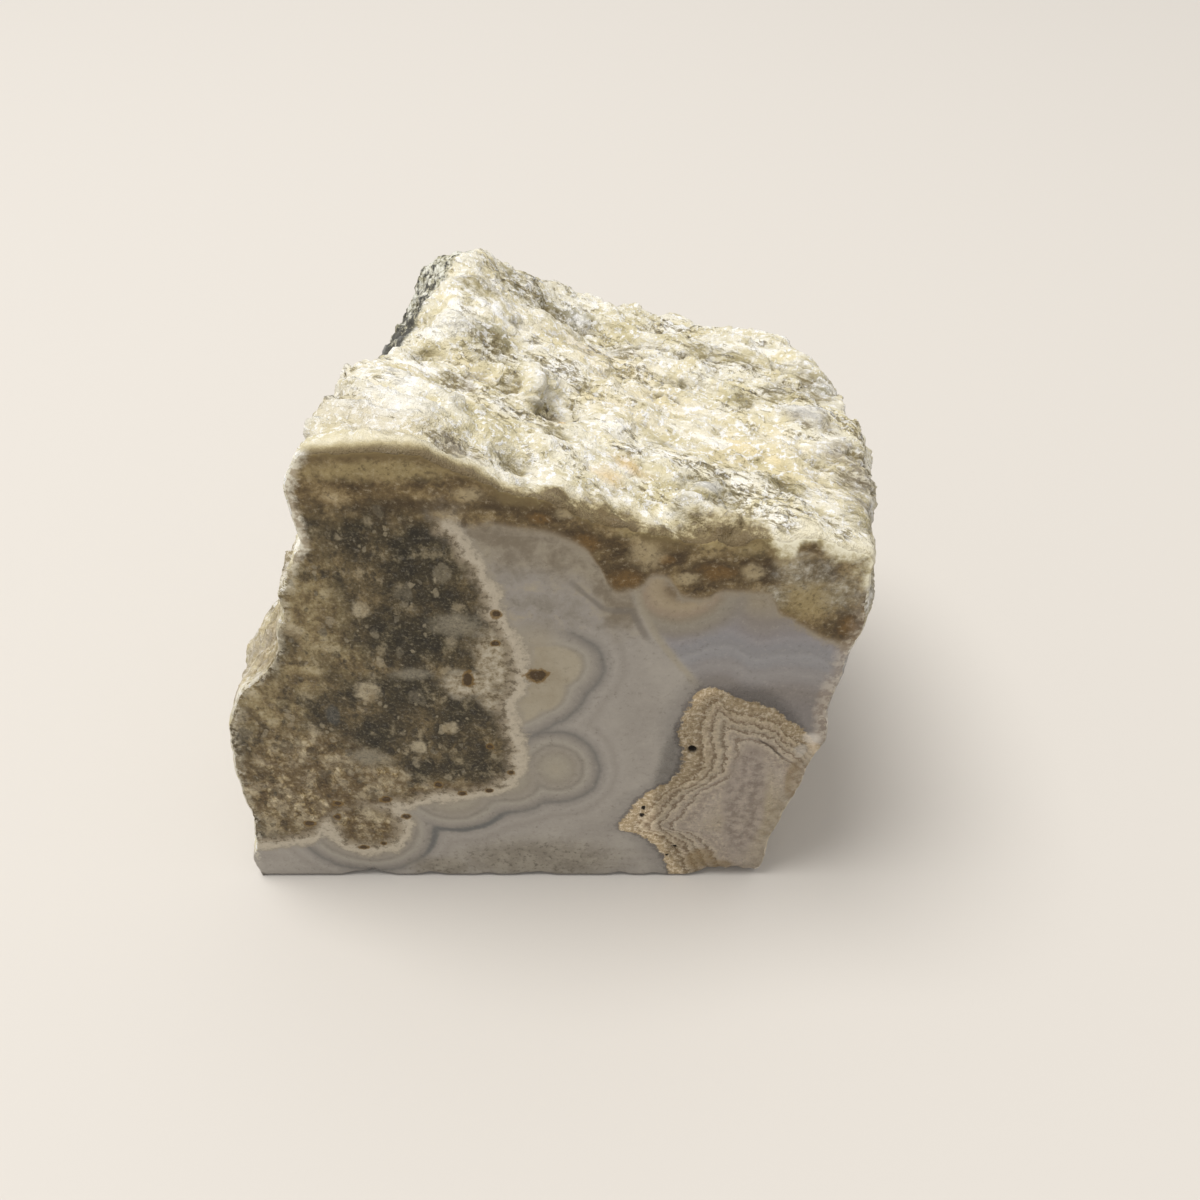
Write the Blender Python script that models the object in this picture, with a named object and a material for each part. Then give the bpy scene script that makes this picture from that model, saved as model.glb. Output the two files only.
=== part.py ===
"""Rough blue lace agate: one broken lump of vein rock, sawn flat across the front and ground flat underneath.

Metres, +Z up. The sawn face looks along -Y, and the origin is the centre of the base of the stone's box.
The lump is built up from sections taken front to back, hewn along the planes where the rock broke,
roughened into lumps, ledges and pits, and sawn last, so that only the saw leaves flat faces.
"""

import math

import bmesh
import bpy
from mathutils import Vector, noise

MM = 0.001

# Driving sizes, measured from the foot of the sawn face. X runs to the right and Y into the stone.
SAW_PLANE_Y = 0.0
BASE_PLANE_Z = 0.0
GRAIN = 0.85 * MM  # spacing of the broken skin's mesh before it is thinned
KEPT_TRIANGLES = 12400  # of the whole lump, before the saw cuts take their share
LUMP_SIZE = 15 * MM
LUMP_HEIGHT = 0.8 * MM
KNOB_SIZE = 5 * MM
KNOB_HEIGHT = 1.1 * MM
LEDGE_STEP = 4.8 * MM  # between one flake of the skin and the next
LEDGE_HEIGHT = 1.4 * MM
LEDGE_DIP = Vector((0.30, 0.50, 0.81)).normalized()  # the flakes lie square to this
LEDGE_WARP = 1.5  # how far the flakes wander, in steps
FLAKY_SHARE = 0.25  # above 0, more of the skin is flaky than not
RAGGED = 0.7  # how uneven the outlines of the landmarks are
STONE_COLOUR = (0.60, 0.57, 0.50, 1.0)
STONE_ROUGHNESS = 0.6

# Sections front to back: the depth in millimetres, then (x, z) points from the left foot up the left side,
# across the top, down the right side and back along the underside.
SAWN_OUTLINE = (
    (-33.8, -4), (-32, 9), (-32.5, 16), (-31.7, 23.5), (-27.7, 29.5), (-25.2, 35.5), (-22.8, 41.5),
    (-23.2, 47.8), (-21.8, 50.6), (-14, 50.6), (-7.5, 47.8), (-0.5, 44.5), (7, 42.2), (15, 42.6),
    (21, 41), (21.8, 35.5), (19.8, 25), (18, 11), (14.6, -4), (0, -5), (-16, -5),
)
SECTIONS = (
    (-4, *SAWN_OUTLINE),
    (0, *SAWN_OUTLINE),
    (
        8, (-33.2, -4), (-33.2, 8), (-33.6, 16), (-30.8, 23.5), (-26.7, 30), (-24.8, 36), (-23, 42),
        (-22.6, 46.3), (-21.4, 49.4), (-14, 49), (-7, 46.8), (0, 44.4), (7, 42.6), (15, 42.4),
        (21.9, 40.4), (23.4, 34), (20.6, 24), (18.5, 11), (15, -4), (0, -5), (-16, -5),
    ),
    (
        16, (-31, -4), (-33, 8), (-33, 16), (-29.2, 24), (-25.8, 31), (-24.2, 36.5), (-22.2, 41),
        (-21.4, 44.3), (-20, 46.4), (-14, 46.4), (-7, 44.8), (0, 43.2), (7, 42), (15, 41.6),
        (22.6, 40.2), (24.2, 33.5), (21.6, 23), (19, 10), (15.2, -4), (0, -5), (-16, -5),
    ),
    (
        25, (-28, -4), (-30.5, 8), (-31.5, 16), (-28.8, 24), (-25.4, 31), (-23, 36.5), (-20.4, 41),
        (-18.8, 43.4), (-17.6, 45), (-13, 46.2), (-7, 44.6), (0, 41.8), (7, 40.8), (14, 40.8),
        (22, 40.2), (24, 33.5), (21.8, 23), (19, 10), (15, -1), (0, -3), (-15, -3),
    ),
    (
        34, (-24, 2), (-28, 10), (-29, 17), (-27.4, 25), (-24.6, 31), (-22, 36.5), (-19.2, 41),
        (-17.6, 43.8), (-16.4, 45.8), (-12.2, 46.8), (-7, 43.6), (-1, 40.2), (6, 39.8), (12.8, 39.6),
        (18.8, 38.8), (22.2, 33.5), (21.4, 23), (18.5, 11), (13, 3), (0, 1), (-13, 1),
    ),
    (
        40, (-18, 7), (-24, 13), (-26, 19), (-25.6, 26), (-23.5, 31.5), (-20.6, 36.5), (-17.8, 40.5),
        (-16.6, 43.8), (-15.2, 45.6), (-11.5, 46.2), (-7.2, 43), (-2, 39.2), (4.5, 38.8), (10.5, 38),
        (15.6, 36.7), (19.8, 32), (19, 23), (16, 14), (10, 8), (0, 5), (-8, 5),
    ),
    (
        45.5, (-13, 14), (-19.5, 18), (-22, 23), (-22, 28), (-20.4, 32), (-18.6, 35.5), (-16.4, 38.5),
        (-15, 41), (-13.8, 43), (-10.5, 43.2), (-7, 41), (-3, 38.8), (2, 37.4), (7, 36.2),
        (12, 34.4), (14.8, 29), (14, 24), (11, 18), (6, 14), (-1, 11.6), (-7, 12),
    ),
)

# The large faces along which the rock broke: a point on each, the bearing of its outward normal in degrees
# round Z (0 right, 90 back, 180 left, 270 front), and the rise of that normal above level in degrees.
BREAKS = (
    ((-20, 40, 42), 152, 14),
    ((-8, 44.6, 38), 88, 22),
    ((14.8, 39.6, 36.6), 52, 26),
    ((20.4, 33, 22), 42, -6),
    ((2, 43.6, 26), 80, 2),
    ((-24, 36, 20), 132, -6),
    ((-14, 40, 12), 108, -28),
    ((10, 36, 8), 66, -34),
    ((-30, 24, 6), 152, -22),
    ((-8, 37, 4), 92, -52),
    ((23.4, 18, 30), 4, 1),
)

# What stands out of the skin or is knocked out of it: centre, radius, and height in millimetres.
LANDMARKS = (
    ((-11, 28, 46), 6.5, 0.9),
    ((-17, 12, 47), 5.5, 0.7),
    ((-5.6, 19.2, 44.4), 2.6, 1.5),
    ((-3.6, 16.2, 43.8), 2.3, -1.7),
    ((-9.2, 19.8, 45), 2.4, -1.3),
    ((-13, 21.4, 45.4), 2.6, -1.1),
    ((-6.4, 4.4, 46.4), 2.6, -1.0),
    ((3.4, 12.5, 43.4), 2.2, -0.9),
    ((10.2, 15.2, 42), 2.2, -0.9),
    ((5.4, 24.4, 41.2), 2.8, -0.9),
    ((13.6, 9.4, 42.2), 2.8, -0.8),
    ((23, 16, 40), 3.2, 0.5),
    ((16.5, 24, 41), 3.4, 0.7),
    ((-0.5, 35.5, 41), 3.0, -0.9),
    ((23.4, 22, 25), 5.0, -1.5),
    ((6, 43.5, 27), 5.5, -1.7),
    ((-15, 42, 22), 4.5, -1.4),
    ((-31.5, 22, 13), 5.0, -1.6),
    ((-28, 10, 33), 3.6, -0.9),
    ((-26, 24, 32), 4.5, 1.2),
    ((14, 40, 30), 4.5, 1.1),
)


def clear_scene():
    for old in list(bpy.data.objects):
        bpy.data.objects.remove(old)


def outward(bearing, rise):
    """The unit normal with this bearing round Z and this rise above level, both in degrees."""
    across = math.cos(math.radians(rise))
    turn = math.radians(bearing)
    return Vector((across * math.cos(turn), across * math.sin(turn), math.sin(math.radians(rise))))


def lofted(sections):
    """A closed shape through the sections, with both ends capped."""
    shape = bmesh.new()
    rings = []
    for depth, *outline in sections:
        rings.append([shape.verts.new(Vector((x, depth, z)) * MM) for x, z in outline])
    count = len(rings[0])
    for near, far in zip(rings, rings[1:]):
        for i in range(count):
            j = (i + 1) % count
            shape.faces.new((near[i], near[j], far[j], far[i]))
    shape.faces.new(rings[0])
    shape.faces.new(rings[-1])
    bmesh.ops.triangulate(shape, faces=shape.faces)
    bmesh.ops.recalc_face_normals(shape, faces=shape.faces)
    return shape


def split_off(shape, point, normal):
    """Cuts away what lies beyond a plane and closes the cut."""
    parts = shape.verts[:] + shape.edges[:] + shape.faces[:]
    cut = bmesh.ops.bisect_plane(
        shape, geom=parts, plane_co=point, plane_no=normal, clear_outer=True, dist=1e-7
    )
    rim = [item for item in cut["geom_cut"] if isinstance(item, bmesh.types.BMEdge)]
    bmesh.ops.triangle_fill(shape, edges=rim, use_beauty=True, normal=normal)


def hewn_lump():
    """The lump as it broke: the lofted sections, cut along each break."""
    shape = lofted(SECTIONS)
    for point, bearing, rise in BREAKS:
        split_off(shape, Vector(point) * MM, outward(bearing, rise))
    return shape


def store(shape, stone):
    shape.to_mesh(stone.data)
    shape.free()


def settled(stone):
    """The stone with its modifier made real, as a new shape."""
    graph = bpy.context.evaluated_depsgraph_get()
    shape = bmesh.new()
    shape.from_mesh(stone.evaluated_get(graph).data)
    stone.modifiers.clear()
    shape.normal_update()
    return shape


def give_even_skin(stone):
    """Remeshes the hewn lump evenly and takes the knife edges off its breaks."""
    remesh = stone.modifiers.new("even skin", "REMESH")
    remesh.mode = "VOXEL"
    remesh.voxel_size = GRAIN
    shape = settled(stone)
    for _ in range(2):
        bmesh.ops.smooth_vert(
            shape, verts=shape.verts, factor=0.5, use_axis_x=True, use_axis_y=True, use_axis_z=True
        )
    store(shape, stone)


def landmark_height(at):
    total = 0.0
    for centre, radius, height in LANDMARKS:
        uneven = 1.0 + RAGGED * noise.noise(at / (radius * MM) + Vector(centre))
        reach = (at / MM - Vector(centre)).length / radius * uneven
        total += height * MM * max(0.0, 1.0 - reach * reach)
    return total


def skin_height(at):
    """How far the broken skin stands out from the hewn lump at this point."""
    lumps = noise.fractal(at / LUMP_SIZE, 1.0, 2.1, 3) * LUMP_HEIGHT
    knobs = (0.5 - noise.voronoi(at / KNOB_SIZE)[0][0]) * KNOB_HEIGHT
    wander = noise.noise(at / LUMP_SIZE * 1.7) * LEDGE_WARP
    along_flake = (at.dot(LEDGE_DIP) / LEDGE_STEP + wander) % 1.0
    flaky = max(0.0, noise.noise(at / LUMP_SIZE * 1.3 + Vector((7.1, 3.3, 5.9))) + FLAKY_SHARE)
    ledges = (along_flake - 0.5) * LEDGE_HEIGHT * flaky
    return lumps + knobs + ledges + landmark_height(at)


def roughen(stone):
    shape = bmesh.new()
    shape.from_mesh(stone.data)
    shape.normal_update()
    moves = [(vert, vert.normal * skin_height(vert.co)) for vert in shape.verts]
    for vert, move in moves:
        vert.co += move
    store(shape, stone)


def thin_out(stone):
    """Drops triangles where the skin is nearly flat, which keeps the edges of the breaks."""
    thin = stone.modifiers.new("thinned", "DECIMATE")
    thin.ratio = KEPT_TRIANGLES / (2 * len(stone.data.polygons))
    thin.use_collapse_triangulate = True
    store(settled(stone), stone)


def saw(stone):
    """Saws the front and grinds the base flat, then sets the origin at the centre of the base's box."""
    shape = bmesh.new()
    shape.from_mesh(stone.data)
    split_off(shape, Vector((0, SAW_PLANE_Y, 0)), Vector((0, -1, 0)))
    split_off(shape, Vector((0, 0, BASE_PLANE_Z)), Vector((0, 0, -1)))
    bmesh.ops.recalc_face_normals(shape, faces=shape.faces)
    low, high = [
        Vector([pick(vert.co[axis] for vert in shape.verts) for axis in range(3)]) for pick in (min, max)
    ]
    centre_of_base = Vector(((low.x + high.x) / 2, (low.y + high.y) / 2, BASE_PLANE_Z))
    bmesh.ops.translate(shape, vec=-centre_of_base, verts=shape.verts)
    store(shape, stone)


def stone_material():
    material = bpy.data.materials.new("stone")
    material.use_nodes = True
    surface = material.node_tree.nodes["Principled BSDF"]
    surface.inputs["Base Color"].default_value = STONE_COLOUR
    surface.inputs["Roughness"].default_value = STONE_ROUGHNESS
    surface.inputs["Metallic"].default_value = 0.0
    return material


clear_scene()
stone = bpy.data.objects.new("stone", bpy.data.meshes.new("stone"))
bpy.context.scene.collection.objects.link(stone)
store(hewn_lump(), stone)
give_even_skin(stone)
roughen(stone)
thin_out(stone)
saw(stone)
stone.data.materials.append(stone_material())
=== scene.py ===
import math

import bmesh
import bpy
from mathutils import Matrix, Vector, geometry, kdtree, noise


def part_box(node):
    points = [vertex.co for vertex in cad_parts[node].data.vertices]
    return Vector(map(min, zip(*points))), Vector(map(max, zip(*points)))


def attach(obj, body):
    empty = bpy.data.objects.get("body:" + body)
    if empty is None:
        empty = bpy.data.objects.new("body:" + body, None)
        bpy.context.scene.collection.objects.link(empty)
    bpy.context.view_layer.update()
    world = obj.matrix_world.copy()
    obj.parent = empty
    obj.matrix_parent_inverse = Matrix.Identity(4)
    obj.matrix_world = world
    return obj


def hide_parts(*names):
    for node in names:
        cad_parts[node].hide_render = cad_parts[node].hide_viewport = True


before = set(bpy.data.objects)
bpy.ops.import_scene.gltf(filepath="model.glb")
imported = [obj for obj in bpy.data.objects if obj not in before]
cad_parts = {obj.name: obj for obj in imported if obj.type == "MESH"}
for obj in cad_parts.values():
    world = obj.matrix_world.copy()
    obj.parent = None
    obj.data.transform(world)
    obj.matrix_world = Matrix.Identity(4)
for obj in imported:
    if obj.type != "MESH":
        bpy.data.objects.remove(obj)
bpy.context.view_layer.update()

# The lump: vein rock broken out by hand, with a skin of coarse quartz grains, thin flakes and pits.
# Its body is the CAD solid, given a fine even mesh. The skin is roughened first, the saw cuts come after
# it, so that their rims run through the grains, and the rims are worn last.

MM = 0.001
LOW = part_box("stone")[0]
FOOT = Vector((4.881 * MM, LOW.y, LOW.z))  # all places are taken from this mark on the sawn face's foot
SKIN_MESH = 0.36 * MM
SPARE = 2.6 * MM  # rock left in front of the saw cut and under the base until they are cut
SAWN_NET = 0.42  # the spacing of the points, in millimetres, over which each cut is closed
GROUND_NET = 1.2
FLAKE_BEARING = math.radians(-31)  # the flakes run this way in plan
FLAKE_LENGTH = 3.2  # how much longer than wide
SKIN_SEED = 4

noise.seed_set(SKIN_SEED)  # the grains and knobs wander off their places in the same way every time

# What stands out of the skin, or is sunk in it where the height is below zero. Each has its middle's
# x, y and z, how far it reaches and its height, in millimetres.
LANDFORMS = [(Vector(row[:3]), *row[3:]) for row in (
    (-14.5, 10.0, 48.4, 7.0, 0.9), (-20.5, 7.5, 47.0, 4.0, 0.6), (-10.3, 3.8, 48.0, 2.6, -0.4),
    (-14.7, 22.2, 45.1, 3.2, -0.7), (-10.9, 17.9, 45.5, 3.2, -0.9), (-7.3, 17.0, 45.0, 2.4, -0.6),
    (-13.0, 25.0, 46.1, 3.6, 1.0), (-5.2, 16.3, 44.9, 2.2, 1.1), (-3.9, 14.6, 43.8, 1.7, -1.1),
    (-7.0, 5.2, 45.6, 1.9, -0.8), (-5.0, 6.6, 45.8, 1.9, 0.7), (-3.5, 10.3, 45.1, 1.5, -0.6),
    (6.7, 27.6, 40.4, 2.6, 0.6), (6.5, 24.3, 40.3, 1.6, -0.8), (18.3, 18.5, 41.4, 3.6, 0.5),
    (20.9, 11.5, 41.2, 2.2, 0.5), (8.6, 6.0, 43.0, 2.4, 0.6), (14.6, 8.2, 41.6, 2.2, -0.5),
    (20.3, 4.0, 41.6, 1.8, 0.5), (5.0, 7.5, 43.4, 2.4, 0.5), (15.1, 1.8, 42.7, 2.6, 0.4),
    (5.7, 2.6, 43.0, 1.9, 0.5), (12.0, 0.6, 42.1, 2.2, 0.5), (0.0, 26.8, 41.6, 3.2, 0.5),
    (-1.5, 19.7, 43.5, 1.7, -0.6), (-4.2, 35.6, 41.5, 4.0, -0.9), (12.5, 21.5, 41.0, 1.6, -0.5),
    (23.0, 6.0, 35.0, 14.0, -0.8), (20.0, 26.0, 38.0, 10.0, -0.6), (5.0, 33.0, 40.0, 11.0, -0.3),
    (-29.0, 3.0, 31.0, 7.0, -1.0), (-25.0, 3.0, 40.0, 5.0, -0.4), (-31.0, 2.0, 19.0, 6.5, 0.7),
)]


def stone_mm(at):
    """A point as millimetres from the foot of the sawn face."""
    return (at - FOOT) / MM


def eased(value):
    """0 below zero and 1 above one, eased between."""
    value = min(1.0, max(0.0, value))
    return value * value * (3 - 2 * value)


def with_spare_rock(shape):
    """Pulls the two cut faces outwards, so that the skin can be roughened right across their rims."""
    for axis, plane in ((1, LOW.y), (2, LOW.z)):
        flat = [f for f in shape.faces if all(abs(v.co[axis] - plane) < 1e-6 for v in f.verts)]
        grown = bmesh.ops.extrude_face_region(shape, geom=flat)["geom"]
        moved = [item for item in grown if isinstance(item, bmesh.types.BMVert)]
        step = Vector((0, 0, 0))
        step[axis] = -SPARE
        bmesh.ops.translate(shape, vec=step, verts=moved)
        bmesh.ops.delete(shape, geom=[f for f in flat if f.is_valid], context="FACES_ONLY")


def evenly_meshed(solid):
    """A new object with the solid's shape in an even mesh, its facets melted together."""
    shape = bmesh.new()
    shape.from_mesh(solid.data)
    bmesh.ops.remove_doubles(shape, verts=shape.verts, dist=1e-7)
    with_spare_rock(shape)
    lump = bpy.data.objects.new("blue_lace_agate", bpy.data.meshes.new("blue_lace_agate"))
    bpy.context.scene.collection.objects.link(lump)
    shape.to_mesh(lump.data)
    shape.free()
    even = lump.modifiers.new("even mesh", "REMESH")
    even.mode = "VOXEL"
    even.voxel_size = SKIN_MESH
    melt = lump.modifiers.new("melted facets", "SMOOTH")
    melt.factor = 0.5
    melt.iterations = 7
    made = bpy.data.meshes.new_from_object(lump.evaluated_get(bpy.context.evaluated_depsgraph_get()))
    lump.modifiers.clear()
    lump.data = made
    return lump


def along_flakes(at):
    """The point with the flakes turned onto X and shortened, so that round noise on it makes streaks."""
    turned = Matrix.Rotation(-FLAKE_BEARING, 3, "Z") @ at
    turned.x /= FLAKE_LENGTH
    return turned


def grain_facet(at, size):
    """Broken quartz grains, each a leaning plane: the height, about -0.5 to 0.5, and the tone."""
    middle = noise.voronoi(at / size)[1][0]
    lean = noise.cell_vector(middle * 31.7)
    height = (at / size - middle).dot(lean - Vector((0.5, 0.5, 0.5))) * 2.0
    return max(-0.6, min(0.6, height)), noise.cell(middle * 57.3)


def landform(at):
    """The height of the single knobs and hollows, whose outlines wander."""
    at = at + noise.noise_vector(at / 2.4) * 1.1
    total = 0.0
    for middle, reach, height in LANDFORMS:
        away = (at - middle).length / reach
        if away < 1:
            total += height * (1 - away * away) ** 2
    return total


# The skin's forms: how far apart they are, and how high they stand or how deep they go, in millimetres.
CRUMB_SIZE, CRUMB_HEIGHT = 0.75, 0.2
FINE_GRAIN, FINE_HEIGHT = 1.2, 0.36
FLAKE_STEP, FLAKE_HEIGHT = 1.9, 0.6
PIT_SIZE, PIT_DEPTH = 2.1, 1.6
COARSE_GRAIN, COARSE_HEIGHT = 3.1, 0.44
SWELL_SIZE, SWELL_HEIGHT = 5.0, 0.36
FLAKY_FIELD = 13.0
SKIN_LOWEST, SKIN_HIGHEST = -1.1, 0.65
SKIN_SHIFT = -0.1


def skin_relief(at):
    """How far the skin stands out at this place in millimetres, and the tone of the grain there."""
    streaked = along_flakes(at)
    flaky = eased(noise.noise(at / FLAKY_FIELD + Vector((3.7, 1.2, 8.8))) * 1.6 + 0.45)
    coarse, coarse_tone = grain_facet(at + noise.noise_vector(at / 3) * 0.8, COARSE_GRAIN)
    fine, tone = grain_facet(streaked + noise.noise_vector(at / 1.5) * 0.2, FINE_GRAIN)
    wander = noise.noise(at / 7) * 1.4
    step = (streaked.y * 0.62 + at.z * 0.35 + wander) / FLAKE_STEP % 1.0
    side = eased((abs(at.x + 2) - 18) / 4)  # 1 on the two sides of the lump, which are less flaky
    flakes = (step - 0.5) * FLAKE_HEIGHT * flaky * (1 - 0.7 * side)
    crumb = noise.fractal(streaked / CRUMB_SIZE, 0.7, 2.0, 3) * CRUMB_HEIGHT
    swell = noise.fractal(at / SWELL_SIZE, 1.0, 2.0, 2) * SWELL_HEIGHT
    pit = max(0.0, noise.noise(at / PIT_SIZE + Vector((11.3, 4.1, 7.7))) - 0.4) * -PIT_DEPTH
    # Near the saw cut the skin is calmer, and calmest on the left.
    rim_calm = 0.25 + 0.25 * eased((at.x + 9) / 9) * eased((at.z - 30) / 8)
    calm = rim_calm + (1 - rim_calm) * eased(at.y / 4.5)
    broken = (coarse * COARSE_HEIGHT * (1 - 0.5 * flaky) + fine * FINE_HEIGHT) * (1 - 0.35 * side)
    rough = broken + flakes + crumb + swell + pit
    rough = max(SKIN_LOWEST, min(SKIN_HIGHEST, rough))
    return rough * calm + landform(at) + SKIN_SHIFT, 0.65 * tone + 0.35 * coarse_tone


def roughened(lump):
    """Moves the skin's points by their relief. Keeps the relief and the grain's tone for the colours."""
    mesh = lump.data
    heights, tones = zip(*[skin_relief(stone_mm(v.co)) for v in mesh.vertices])
    normals = [n.vector.copy() for n in mesh.vertex_normals]
    for vert, normal, height in zip(mesh.vertices, normals, heights):
        vert.co += normal * height * MM
    for name, values in (("relief", heights), ("grain", tones)):
        mesh.attributes.new(name, "FLOAT", "POINT").data.foreach_set("value", values)


def cut_flat(shape, axis, plane, net):
    """Saws off what lies beyond a plane, and closes the cut over an even net. Returns the new faces."""
    outwards = Vector((0, 0, 0))
    outwards[axis] = -1
    at = -outwards * plane
    parts = shape.verts[:] + shape.edges[:] + shape.faces[:]
    cut = bmesh.ops.bisect_plane(
        shape, geom=parts, plane_co=at, plane_no=outwards, clear_outer=True, dist=1e-7
    )
    rim = [item for item in cut["geom_cut"] if isinstance(item, bmesh.types.BMEdge)]
    corners = list(dict.fromkeys(v for edge in rim for v in edge.verts))
    number = {v: i for i, v in enumerate(corners)}
    across, along = [i for i in range(3) if i != axis]
    points = [Vector((v.co[across], v.co[along])) / MM for v in corners]
    near = kdtree.KDTree(len(points))
    for i, point in enumerate(points):
        near.insert(point.to_3d(), i)
    near.balance()
    low = [min(p[i] for p in points) for i in (0, 1)]
    high = [max(p[i] for p in points) for i in (0, 1)]
    row_step = net * math.sqrt(0.75)
    for row in range(int((high[1] - low[1]) / row_step) + 1):
        for column in range(int((high[0] - low[0]) / net) + 1):
            point = Vector((low[0] + (column + row % 2 / 2) * net, low[1] + row * row_step))
            if near.find(point.to_3d())[2] > 0.6 * net:
                points.append(point)
    edges = [(number[e.verts[0]], number[e.verts[1]]) for e in rim]
    spots, _, triangles, sources, _, _ = geometry.delaunay_2d_cdt(points, edges, [], 1, 1e-5)
    verts = {}
    faces = []
    for triangle in triangles:
        for i in triangle:
            if i in verts:
                continue
            if sources[i][0] < len(corners):
                verts[i] = corners[sources[i][0]]
            else:
                spot = at.copy()
                spot[across], spot[along] = spots[i] * MM
                verts[i] = shape.verts.new(spot)
        face = shape.faces.new([verts[i] for i in triangle])
        face.normal_update()
        if face.normal.dot(outwards) < 0:
            face.normal_flip()
        faces.append(face)
    for edge in rim:
        edge.smooth = False
    return faces


# The tan patch on the sawn face is porous: its middle and half sizes, then its pits, each x, z and reach.
TAN_MIDDLE, TAN_SIZE = (12, 12.5), (7.3, 14.5)
TAN_PITS = ((8.1, 18.4, 0.5), (3.9, 9.2, 0.3), (4.0, 10.3, 0.25), (7.1, 4.6, 0.25), (6.4, 3.2, 0.25))
CHIP_FADE = 2.2  # how far in and up a chip along the foot fades out
# Chips along the foot of the sawn face: the middle's x, the half width and the height.
FOOT_CHIPS = (
    (-22.5, 2.6, 0.6), (-16.4, 1.2, 0.35), (-11.0, 0.8, 0.25), (-6.2, 1.8, 0.4), (1.8, 1.1, 0.35),
    (5.4, 0.8, 0.25), (12.6, 4.0, 1.1),
)


def sawn_relief(at):
    """How far the sawn face is sunk at this place, in millimetres."""
    spread = math.hypot((at.x - TAN_MIDDLE[0]) / TAN_SIZE[0], (at.z - TAN_MIDDLE[1]) / TAN_SIZE[1])
    porous = eased((1.0 - spread) / 0.12)
    sunk = 0.03 + noise.fractal(at / 1.3, 0.8, 2.0, 3) * (0.035 + 0.13 * porous)
    for x, z, reach in TAN_PITS:
        sunk += 0.55 * eased(1.4 - math.hypot(at.x - x, at.z - z) / reach)
    lumpy = eased((at.z - 38) / 4) * 0.16 * noise.noise(at / 2.2)
    return max(0.0, sunk + lumpy)


def foot_chip(at):
    """How far the foot of the sawn face is chipped away upwards at this place, in millimetres."""
    fade = max(0.0, 1 - at.y / CHIP_FADE) * max(0.0, 1 - at.z / CHIP_FADE)
    if not fade:
        return 0.0
    uneven = 0.8 + 0.7 * noise.noise(at / 0.9)
    risen = sum(tall * max(0.0, 1 - ((at.x - x) / wide) ** 2) for x, wide, tall in FOOT_CHIPS)
    return fade * uneven * risen


# How the rims are worn: a little all round, and rounder along the top of the sawn face.
FARTHEST_KEPT = 9.0  # the distance from a rim, in millimetres, past which it no longer matters
CRISP_WEAR = 0.4
CREST_WEAR = 0.9
CREST_FOOT = LOW.z + 28 * MM
CREST_BACK = LOW.y + 2 * MM


def worn(shape, sawn):
    """Gives the cuts their slight relief, wears their rims, and keeps each point's distance to a rim."""
    rim = list(dict.fromkeys(v for edge in shape.edges if not edge.smooth for v in edge.verts))
    near = kdtree.KDTree(len(rim))
    for i, vert in enumerate(rim):
        near.insert(vert.co, i)
    near.balance()
    kept = shape.verts.layers.float.new("rim")
    for vert in shape.verts:
        vert[kept] = min(FARTHEST_KEPT, near.find(vert.co)[2] / MM)
    for vert in {v for face in sawn for v in face.verts}:
        vert.co.y += sawn_relief(stone_mm(vert.co)) * eased(vert[kept] / 0.8) * MM
    for vert in shape.verts:
        chip = foot_chip(stone_mm(vert.co))
        vert.co += Vector((0, 0.5, 1)) * chip * MM
    crisp = [v for v in shape.verts if v[kept] < CRISP_WEAR]
    high = [v for v in shape.verts if v.co.z > CREST_FOOT and v.co.y < CREST_BACK]
    crest = [v for v in high if v[kept] < CREST_WEAR]
    for verts, times in ((crisp, 2), (crest, 6)):
        for _ in range(times):
            bmesh.ops.smooth_vert(
                shape, verts=verts, factor=0.5, use_axis_x=True, use_axis_y=True, use_axis_z=True
            )
    for edge in shape.edges:
        edge.smooth = edge.smooth or edge.verts[0].co.z > LOW.z + 1 * MM


lump = evenly_meshed(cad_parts["stone"])
roughened(lump)
shape = bmesh.new()
shape.from_mesh(lump.data)
for face in shape.faces:
    face.material_index = 1
sawn = cut_flat(shape, 1, LOW.y, SAWN_NET)
ground = cut_flat(shape, 2, LOW.z, GROUND_NET)
sawn = [face for face in sawn if face.is_valid]
for face in sawn + ground:
    face.material_index = 0
worn(shape, sawn)
for face in shape.faces:
    face.smooth = True
loose = [v for v in shape.verts if not v.link_faces]
bmesh.ops.delete(shape, geom=loose, context="VERTS")
shape.to_mesh(lump.data)
shape.free()
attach(lump, "root")
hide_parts("stone")


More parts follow.
